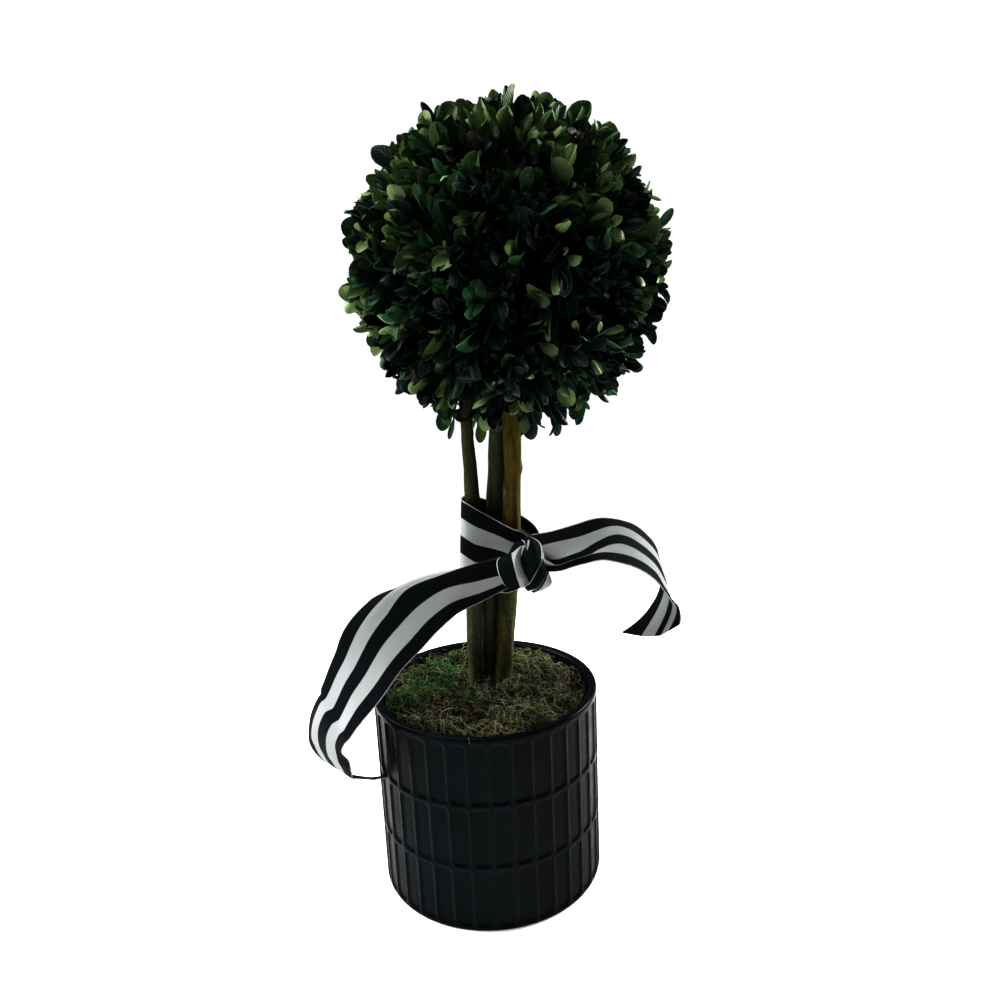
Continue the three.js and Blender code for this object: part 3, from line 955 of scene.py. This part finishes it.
def deal_leaves(dice, sprigs):
    """The leaves of all the sprigs, in one group for each tint."""
    chances = [tint[-1] for tint in LEAF_TINTS.values()]
    groups = [[] for _ in LEAF_TINTS]
    for sprig in sprigs:
        # Inner sprigs all take the inner tint, painted shade inside the ball.
        tint = INNER if sprig["inner"] else sprig_tint(dice, sprig, chances)
        budding = dice.uniform() < BUDDING_SHARE
        leaves = sprig_leaves(dice, sprig)
        for number, row in enumerate(leaves):
            odd = dice.uniform() < ODD_LEAF_SHARE and not sprig["inner"]
            chosen = dice.choice(len(groups), p=chances) if odd else tint
            if budding and not sprig["inner"] and number >= len(leaves) - 2:
                chosen = BRIGHT
            if not hides_stem(row["base"] + row["ahead"] * row["length"] * HANGING_POINT):
                groups[chosen].append(row)
    for (tint, *_), row in zip(STRAYS, stray_leaves()):
        groups[tint].append(row)
    return groups


def add_leaves(name, material, group):
    rows, columns = len(LEAF_ROWS), len(LEAF_COLUMNS)
    places = leaf_places({key: np.array([row[key] for row in group]) for key in group[0]})
    quads = repeated(grid_quads(rows, columns), len(group), rows * columns)
    across = np.tile(np.array(LEAF_COLUMNS) / 2 + 0.5, rows)
    uvs = np.tile(np.stack([across, np.repeat(LEAF_ROWS, columns)], -1), (len(group), 1))
    return add_piece(name, places, quads, material, uvs)


def make_leaves(dice, sprigs):
    groups = deal_leaves(dice, sprigs)
    made = [
        add_leaves(name, leaf(name, blade, deep, rim), group)
        for (name, (blade, deep, rim, _)), group in zip(LEAF_TINTS.items(), groups)
    ]
    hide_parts("foliage_ball")


# ---- boughs and twigs


def limb(heap, start, leave, end, arrive, thick, thin, sides=5, points=6):
    """A bent, tapering length of wood from one place and direction to another."""
    reach = np.linalg.norm(end - start) * LIMB_PULL
    share = evenly(points)[:, None]
    first, second = start + leave * reach, end - arrive * reach
    line = (
        start * (1 - share) ** 3
        + 3 * first * share * (1 - share) ** 2
        + 3 * second * share**2 * (1 - share)
        + end * share**3
    )
    places, quads = tube(line, np.linspace(thick, thin, points), sides)
    uvs = np.stack([np.full(points * sides, 0.5), np.repeat(share[:, 0], sides)], -1)
    heap.add(places, quads, uvs)


# The wood's colours where it starts and where it ends.
WOOD = {
    "boughs": ((0.03, 0.024, 0.012), (0.05, 0.04, 0.02)),
    "twigs": ((0.035, 0.03, 0.014), (0.045, 0.06, 0.02)),
}


def wood_radius(count):
    """Radius of the limb that carries that many sprigs."""
    return WOOD_RADIUS * count**WOOD_POWER


def grow(dice, heaps, start, leave, sprigs):
    """The branching rule: a limb forks in two until each end carries one sprig."""
    boughs, twigs = heaps
    if len(sprigs) == 1:
        sprig = sprigs[0]
        if hides_stem(sprig["base"]):
            return
        base, lean = sprig["base"], sprig["lean"]
        thick, middle, thin = TWIG_RADII
        limb(twigs, start, leave, base, lean, thick, middle)
        limb(twigs, base, lean, base + lean * sprig["gap"] * sprig["pairs"], lean, middle, thin, 5, 4)
        return
    bases = np.array([sprig["base"] for sprig in sprigs])
    spread = bases - bases.mean(0)
    widest = np.linalg.svd(spread, full_matrices=False)[2][0]
    order = np.argsort(spread @ (widest + dice.normal(0, CUT_TILT, 3)))
    cut = int(np.clip(round(len(order) * dice.uniform(*CUT_SHARE)), 1, len(order) - 1))
    for chosen in (order[:cut], order[cut:]):
        middle = bases[chosen].mean(0)
        share = dice.uniform(*FORK_SHARE) if len(chosen) > 1 else LAST_FORK
        fork = start + (middle - start) * share
        towards = unit(middle - start)
        thick, thin = wood_radius(len(sprigs)), wood_radius(len(chosen))
        heap = boughs if len(chosen) > BOUGH_SPRIGS else twigs
        limb(heap, start, leave, fork, towards, thick, thin, 6, 5)
        grow(dice, heaps, fork, towards, [sprigs[i] for i in chosen])


def make_wood(dice, sprigs):
    """Boughs and twigs from each stem's tip to the sprigs nearest to it."""
    tips = [stem_line(node)[0][-1] for node in STEMS]
    order = sorted(range(len(sprigs)), key=lambda i: sprigs[i]["base"][0])
    shares = np.split(np.array(order), [len(order) // 3, 2 * len(order) // 3])
    heaps = Heap(), Heap()
    for tip, share in zip(tips, shares):
        start = tip - UP * 2 * MM
        grow(dice, heaps, start, UP, [sprigs[i] for i in share])
    for heap, (name, colours) in zip(heaps, WOOD.items()):
        heap.piece("foliage_" + name, strand(name, *colours), "bark_dark")


def make_ball():
    dice = np.random.default_rng(7)
    outer = make_sprigs(dice, SPRIGS, 1.0, SPRIG_SPREAD)
    inner = make_sprigs(dice, INNER_SPRIGS, INNER_REACH, INNER_SPREAD)
    make_wood(dice, outer + inner)
    make_leaves(dice, outer + inner)


# ---- ribbon


# Each tail: its middle line away from the knot and the direction across the cloth at each point.
LEFT_MIDDLE = [
    (14, -22, 182), (-1, -25, 179), (-19, -30, 176), (-37, -35, 167.5), (-53, -39, 154), (-63, -41, 139),
    (-72, -40, 126), (-80, -38, 112), (-86.8, -24.6, 86.8), (-83, -14.3, 70), (-69, -12, 62.3),
    (-60, -9, 60.5),
]
LEFT_ACROSS = [
    (0, 4, 9), (-2, 8, 13), (-7, 8, 14), (-12, 7, 13), (-14.5, 8, 9), (-14, 12, 6),
    (-12, 14, 3.5), (-11, 15, 1.5), (-10.8, 15.3, -3.8), (-9, 16, -5), (-2.7, 16, -10.2), (-2.4, 16, -9.4),
]
RIGHT_MIDDLE = [
    (31, -20, 189), (42, -20, 192.5), (53, -20, 195), (66, -20, 196), (80, -20, 192.3), (89.5, -19, 185),
    (96, -16, 175.5), (99.5, -13, 165), (98, -15, 154), (87.7, -22.7, 138.9),
]
RIGHT_ACROSS = [
    (0, 15, 6), (2, 17.5, 5), (3, 17.5, 5.5), (4, 17, 6), (5, 17, 5), (5.7, 17.7, 2),
    (5.3, 17.8, -2.5), (2, 17.5, -5.5), (-4, 16, -6), (-13, 10, -7),
]
# The wrap's upper edge round the stems, starting at the right of the knot.
WRAP_TOP = [
    (34.5, 2, 192), (31.5, 8, 197.5), (25, 11.5, 202.5), (8, 13.2, 211.5), (-4.5, 8.8, 216.5),
    (-7.45, 2, 216), (-5, -4, 215.1), (9, -7.3, 206.6), (14, -8.6, 203.6), (19.4, -10, 200.9),
    (23, -10.8, 199.9), (26, -10.5, 197.5), (30, -9, 193.8), (34, -5, 190.5),
]
# From the wrap's left to its right: how deep it hangs, how far its lower edge sags, and at what shares.
WRAP_DEPTH = (46 * MM, 38 * MM, 20 * MM)
WRAP_DEPTH_AT = (0, 0.55, 1)
WRAP_SAG = (2 * MM, 6 * MM, 0)
WRAP_SAG_AT = (0, 0.2, 0.5)
WRAP_FLARE = 3.5 * MM


def strip_places(middles, acrosses, folds, cuts):
    """A strip of cloth as a grid: rows along it, columns from its low edge to its high one."""
    shares = evenly(TAIL_ROWS)
    v = evenly(CLOTH_COLUMNS)
    laid = laid_across(folds, shares, v) * RIBBON_WIDTH
    cut = np.interp(v, evenly(len(cuts)), cuts)
    grid = np.empty((TAIL_ROWS, CLOTH_COLUMNS, 3))
    for j in range(CLOTH_COLUMNS):
        here = shares - cut[j] * shares**4
        middle, along = curve(np.array(middles) * MM, here)
        across, _ = curve(acrosses, here)
        across = unit(across - along * (across * along).sum(1, keepdims=True))
        face = np.cross(along, across)
        grid[:, j] = middle + across * laid[:, j, :1] + face * laid[:, j, 1:]
    return grid


def laid_across(folds, shares, v):
    """How the cloth lies across its width at each share, as (across, outwards) in ribbon widths."""
    at = [share / 100 for share, *_ in folds]
    lines = [np.stack([across, *(lift or [LEVEL])], -1) / 100 for _, across, *lift in folds]
    steps = np.interp(shares, at, evenly(len(at)))
    rows, _ = curve(np.reshape(lines, (len(at), -1)), steps)
    return np.array([curve(row.reshape(-1, 2), v)[0] for row in rows])


def cloth_piece(name, grid, material, stripes=None, replaced=()):
    """A grid of cloth with its thickness, mapped in ribbon widths along and across."""
    rows, columns, _ = grid.shape
    middle = grid[:, columns // 2]
    run = np.concatenate([[0], np.cumsum(np.linalg.norm(np.diff(middle, axis=0), axis=1))]) / RIBBON_WIDTH
    across = evenly(columns) if stripes is None else stripes
    uvs = np.stack(np.broadcast_arrays(run[:, None], across[None]), -1).reshape(-1, 2)
    piece = add_piece(name, grid, grid_quads(rows, columns), material, uvs, "cloth")
    thick = piece.modifiers.new("thickness", "SOLIDIFY")
    thick.thickness = RIBBON_THICK
    thick.offset = 0
    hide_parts(*replaced)
    return piece


# How each tail is folded, in hundredths. Each row has a share of the way from the knot to the tail's end,
# where the ribbon's six stripe edges lie across its width there, and how far out of it, if it isn't level.
FLAT = (-50, -30, -10, 10, 30, 50)
LEVEL = (0, 0, 0, 0, 0, 0)
LEFT_FOLDS = (
    (0, (-21, -13.7, -3, 20, 14, 2), (0, 0, 0, 0, 7, 9)),
    (9, (-28.5, -17.3, -1, 23, 19, 10), (0, 0, 0, 0, 6, 10)),
    (17, (-36, -19, 1.5, 21, 26, 15), (0, 0, 0, 0, 5, 10)),
    (25, (-45, -25, -2, 25.5, 34.5, 33), (0, 0, 0, 0, 3, 10)),
    (31, (-50, -31, -7, 15.5, 35, 47), (0, 0, 0, 0, 0, 5)),
    (40, (-50, -31.5, -10, 10, 30, 50)),
    (50, FLAT),
    (60, (-50, -33, -13, 8, 28, 47), (0, 0, 2, 2, 0, 0)),
    (63, (-44, -27, -8, 14, 32, 47), (0, 0, -2, -2, -1, 5)),
    (66, (-39, -24, -5, 16, 33, 48), (2, 0, -3, -3, -1, 5)),
    (69, (-44, -27, -7, 15, 33, 48), (11.5, 2, -3, -3, -1, 5)),
    (72, (-49, -30, -10, 11, 30, 44), (7.5, 2, -2, -2, -2, 3)),
    (75, (-48, -31, -11, 9, 28, 42), (4, 2, 0, 0, 0, 0)),
    (80, (-42, -28, -10, 10, 28, 42)),
    (86, FLAT, (-1.6, 1.6, 0, 0, 0, 0)),
    (100, FLAT, (-1.6, 1.6, 0, 0, 0, 0)),
)
RIGHT_FOLDS = (
    (0, (-29, -23, 3, 7, 19, 50), (-6, 0, -2, -10, 0, 0)),
    (10, (-46, -41, -33, -17.5, 17.5, 49), (-6, 0, -10, -6, 0, 0)),
    (20, (-47, -40, -36, -16, 13.5, 47), (-4, 2, -5, -5, 0, 0)),
    (30, (-48, -31, -20, -2, 20, 50), (0, 0, -2, -2, 0, 0)),
    (40, (-50, -30, -7, 14, 34, 50)),
    (50, FLAT),
    (58, FLAT),
    (66, (-50, -38, -14, 10, 30, 50)),
    (74, (-50, -38, -20, 0, 25, 50)),
    (82, (-50, -44, -32, -13, 20, 50)),
    (90, (-50, -41, -24, -8, 22, 50)),
    (100, (-50, -28, -16, -5, 18, 55)),
)
# The left tail ends square. The right one is cut at a slant: how much short of its last row each stripe
# edge ends, as a share of the tail's length.
LEFT_CUT = (0, 0)
RIGHT_CUT = (0.07, 0.045, 0.028, 0.022, 0.01, 0)
TAILS = {
    "ribbon_tail_left": (("upper", "lower", "end"), LEFT_MIDDLE, LEFT_ACROSS, LEFT_FOLDS, LEFT_CUT),
    "ribbon_tail_right": (("upper", "lower"), RIGHT_MIDDLE, RIGHT_ACROSS, RIGHT_FOLDS, RIGHT_CUT),
}


def make_tails(material):
    for name, (parts, *shape) in TAILS.items():
        nodes = [f"{name}_{part}" for part in parts]
        cloth_piece(name, strip_places(*shape), material, replaced=nodes)


def make_wrap(material):
    """The band round the stems: high behind them, dropping to the knot in front, loose at its lower left."""
    low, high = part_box("ribbon_wrap")
    top, _ = curve(np.array([*WRAP_TOP, WRAP_TOP[0]]) * MM, evenly(WRAP_ROWS))
    v = evenly(CLOTH_COLUMNS)
    share = (top[:, 0] - low.x) / (high.x - low.x)
    deep = np.interp(share, WRAP_DEPTH_AT, WRAP_DEPTH)[:, None]
    grid = np.repeat(top[:, None], len(v), 1)
    grid[..., 0] -= WRAP_FLARE * v * smooth_step(1 - share, 0.3, 1.0)[:, None]
    grid[..., 2] -= deep * (1 - (1 - v) ** np.maximum(RIBBON_WIDTH / deep, 1))
    grid[..., 2] -= v * np.interp(share, WRAP_SAG_AT, WRAP_SAG)[:, None]
    cloth_piece("ribbon_wrap_band", grid, material, replaced=["ribbon_wrap"])


# The knot's folds. Each is a net of lines down the cloth, with each line's share across the ribbon. The
# points are in millimetres from the knot's middle.
KNOT_MIDDLE = (25, -30, 185)
KNOT_FOLDS = {
    "ribbon_knot_band": {
        0.0: [(-14.2, 6, 5.5), (-15.9, 2.5, 4.2), (-15.6, 1, -0.3), (-14, 2, -5.4), (-11.4, 6, -11.4)],
        0.1: [(-11.6, 4, 6.8), (-12.2, -1, 4.8), (-11.5, -2.5, 0.6), (-9.8, -1, -4.9), (-8.1, 4.5, -11.3)],
        0.2: [(-8.2, 3, 8.1), (-8.1, -3, 6.5), (-7.2, -4.5, 2.4), (-6.3, -3, -2.5), (-4.5, 3.5, -10.5)],
        0.3: [(-3.2, 2.5, 11.8), (-6.4, -4, 8), (-6.9, -5, 2.8), (-5.7, -3.5, -2.7), (-2.1, 3, -9.9)],
        0.4: [(-1.2, 5, 11.3), (-3.1, 3, 5), (-1.8, 2, -0.7), (-0.4, 2, -5.2), (0.7, 5, -8.9)],
    },
    "ribbon_knot_bulge": {
        0.8: [(-2, 4, 14.7), (-1.2, 2, 10.5), (-3.7, 1, 5.5), (-1.7, 1, -1.7), (0, 4, -7.7)],
        0.86: [(-0.7, 4, 15.8), (-0.4, -2.5, 12.8), (-1.6, -4, 7.1), (-0.5, -2.5, 0), (0.1, 3, -7.7)],
        0.93: [(0.6, 5, 15.9), (2.7, -4, 13.7), (2.6, -6, 7.8), (1.9, -4, 1), (0.3, 3, -8)],
        1.0: [(1.2, 6, 16), (6.4, 1, 13), (6.9, -1, 7), (4.6, -2, 0.2), (0.4, 3, -8.4)],
    },
    "ribbon_knot_flap": {
        0.0: [(6.9, -2, 6.3), (5.1, -4, 2.8), (2.4, -4.5, -1.5), (0, -3, -6), (-2.2, 1, -9.4)],
        0.1: [(8.1, 0, 2.7), (7, -4.5, 0.9), (4.8, -5.5, -3.2), (2.3, -4, -7.6), (-1.6, 1, -10.6)],
        0.19: [(8.7, 3, -0.3), (8.9, -1, -1.3), (6.8, -3, -5), (4.3, -2, -8.7), (-0.5, 3, -12.3)],
    },
    "ribbon_knot_tip": {
        1.0: [(9, 4, -1.3), (9.1, 0, -1.5), (7.1, -2, -5.4), (4.6, -1, -9.2), (1.1, 3, -12.5)],
        0.97: [(9.5, 4, -1.4), (9.5, 0, -1.7), (7.5, -2, -5.7), (5, -1, -9.6), (1.5, 3, -13)],
        0.79: [(9.8, 4, -1.4), (9.8, 0, -1.9), (7.9, -2, -6.1), (5.4, -1, -10.1), (1.8, 3, -13.4)],
        0.62: [(10, 5, -3.2), (10.5, 2, -4.1), (11.2, 0, -8), (8, 1, -10.8), (3, 4, -14)],
    },
    "ribbon_knot_shoulder": {
        0.22: [(7.3, 3, 7.7), (6.7, 1, 4.4), (5, -1, 0.5), (3, -1, -3.7)],
        0.38: [(7.9, 4, 7.2), (8.3, 3, 3.7), (8.8, 2, -0.7), (8.3, 2, -4)],
    },
    "ribbon_knot_crease": {
        0.3: [(-3, 1, 15.7), (-1.5, -1, 14), (-0.8, -3, 11.3)],
        0.33: [(-0.9, 2.5, 14.1), (-0.6, -1, 13.3), (-0.7, -3, 11.2)],
        0.36: [(0.7, -1, 15.9), (0.2, -4, 14.1), (-0.6, -4, 11.6)],
    },
}


def net_places(lines):
    """A smooth grid through a net of lines."""
    down = [curve(np.add(line, KNOT_MIDDLE) * MM, evenly(KNOT_ROWS))[0] for line in lines]
    return np.array([curve(row, evenly(KNOT_COLUMNS))[0] for row in np.stack(down, 1)])


def make_knot(material):
    for name, net in KNOT_FOLDS.items():
        stripes = np.interp(evenly(KNOT_COLUMNS), evenly(len(net)), list(net))
        cloth_piece(name, net_places(net.values()), material, stripes)
    make_knot_core(material)


# The knot's core, as shares of the CAD knot's half sizes, and its rows and columns.
CORE_SIZE = (0.72, 0.86, 0.74)
CORE_GRID = (40, 64)
CORE_CRUMPLE = 0.05


def make_knot_core(material):
    """The cloth bundled up inside the knot, seen only between its folds."""
    low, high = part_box("ribbon_knot")
    centre = np.array((low + high) / 2)
    radii = np.array((high - low) / 2) * CORE_SIZE
    tilts = np.linspace(0.02, math.pi - 0.02, CORE_GRID[0])
    tilt, turn = np.meshgrid(tilts, turns(CORE_GRID[1]), indexing="ij")
    ball = polar(np.sin(tilt), turn, np.cos(tilt))
    crumple = 1 + CORE_CRUMPLE * ripple(ball.reshape(-1, 3), 1.2, 3, 2).reshape(tilt.shape)
    places = centre + ball * radii * crumple[..., None]
    uvs = np.stack([turn / TAU, np.full(turn.shape, 0.1)], -1).reshape(-1, 2)
    quads = grid_quads(*CORE_GRID, closed=True)
    core = add_piece("ribbon_knot_core", places, quads, material, uvs, "cloth")
    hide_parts("ribbon_knot")


def make_ribbon():
    material = ribbon_cloth()
    make_wrap(material)
    make_knot(material)
    make_tails(material)


# ---- room


FLOOR_SIZE = 0.9
FLOOR_GLOW = 0.3
PRINT_GAMMA = 0.7
BACKDROP_SEEN = 1.05
BACKDROP_LIGHT = 0.14
SUN_STRENGTH = 5.0
SUN_ANGLE = math.radians(60)
SUN_TILT = (math.radians(-12), math.radians(-27), 0)
# Place, size in metres and power in watts of each panel, and where the spot stands and aims.
PANELS = {"left_panel": ((-0.85, 0.15, 0.7), 0.5, 9.5), "right_panel": ((0.85, 0.35, 0.6), 0.4, 20)}
SPOT_PLACE = (-0.75, -0.55, 0.36)
SPOT_AIM = (-0.018, -0.015, 0.19)
SPOT_SPREAD = math.radians(9.5)
SPOT_SIZE = 0.2
SPOT_POWER = 110


def floor_finish():
    look = Finish("pale_floor", roughness=0.9, specular=0.0)
    look.set("Emission Color", (1, 1, 1, 1))
    look.set("Emission Strength", FLOOR_GLOW)
    return look.coloured(look.mix(look.noise(look.place(), 3), (0.9, 0.9, 0.9), (0.93, 0.93, 0.93)))


def add_camera():
    data = bpy.data.cameras.new("camera")
    data.lens = CAMERA_LENS
    data.sensor_width = 36
    data.clip_start = 0.01
    camera = add_object("camera", data)
    turned = Matrix.Rotation(-CAMERA_RIGHT, 4, "Z") @ Matrix.Rotation(math.pi / 2 - CAMERA_DOWN, 4, "X")
    rolled = turned @ Matrix.Rotation(CAMERA_ROLL, 4, "Z")
    camera.matrix_world = Matrix.Translation(CAMERA_PLACE) @ rolled
    bpy.context.scene.camera = camera


def add_lamp(name, kind, power, place=(0, 0, 0), aim=None):
    lamp = add_object(name, bpy.data.lights.new(name, kind))
    lamp.data.energy = power
    lamp.location = place
    if aim is not None:
        lamp.rotation_euler = (Vector(aim) - Vector(place)).to_track_quat("-Z", "Y").to_euler()
    return lamp


def add_lights():
    """A wide soft sky, a soft panel on each side, and a narrow spot on the wrap and the left tail."""
    sky = add_lamp("sky", "SUN", SUN_STRENGTH)
    sky.data.angle = SUN_ANGLE
    sky.rotation_euler = SUN_TILT
    middle = (CAD_BOX[0] + CAD_BOX[1]) / 2
    for name, (place, size, power) in PANELS.items():
        panel = add_lamp(name, "AREA", power, place, middle)
        panel.data.size = size
    spot = add_lamp("left_spot", "SPOT", SPOT_POWER, SPOT_PLACE, SPOT_AIM)
    spot.data.spot_size = SPOT_SPREAD
    spot.data.spot_blend = 1.0
    spot.data.shadow_soft_size = SPOT_SIZE


def add_world():
    """A white room that looks bright and gives little light."""
    world = bpy.data.worlds.new("room")
    world.use_nodes = True
    bpy.context.scene.world = world
    nodes, links = world.node_tree.nodes, world.node_tree.links
    backdrop = nodes["Background"]
    path = nodes.new("ShaderNodeLightPath")
    mix = nodes.new("ShaderNodeMapRange")
    mix.inputs["To Min"].default_value = BACKDROP_LIGHT
    mix.inputs["To Max"].default_value = BACKDROP_SEEN
    links.new(path.outputs["Is Camera Ray"], mix.inputs["Value"])
    links.new(mix.outputs["Result"], backdrop.inputs["Strength"])
    backdrop.inputs["Color"].default_value = (1, 1, 1, 1)


def make_room():
    bpy.ops.mesh.primitive_plane_add(size=FLOOR_SIZE)
    floor = bpy.context.object
    floor.name = "floor"
    floor.data.materials.append(floor_finish())
    add_world()
    add_lights()
    add_camera()
    bpy.context.scene.view_settings.view_transform = "Standard"
    bpy.context.scene.view_settings.gamma = PRINT_GAMMA


finish_fill()
make_pot()
make_moss()
make_stems()
make_ball()
make_ribbon()
make_room()
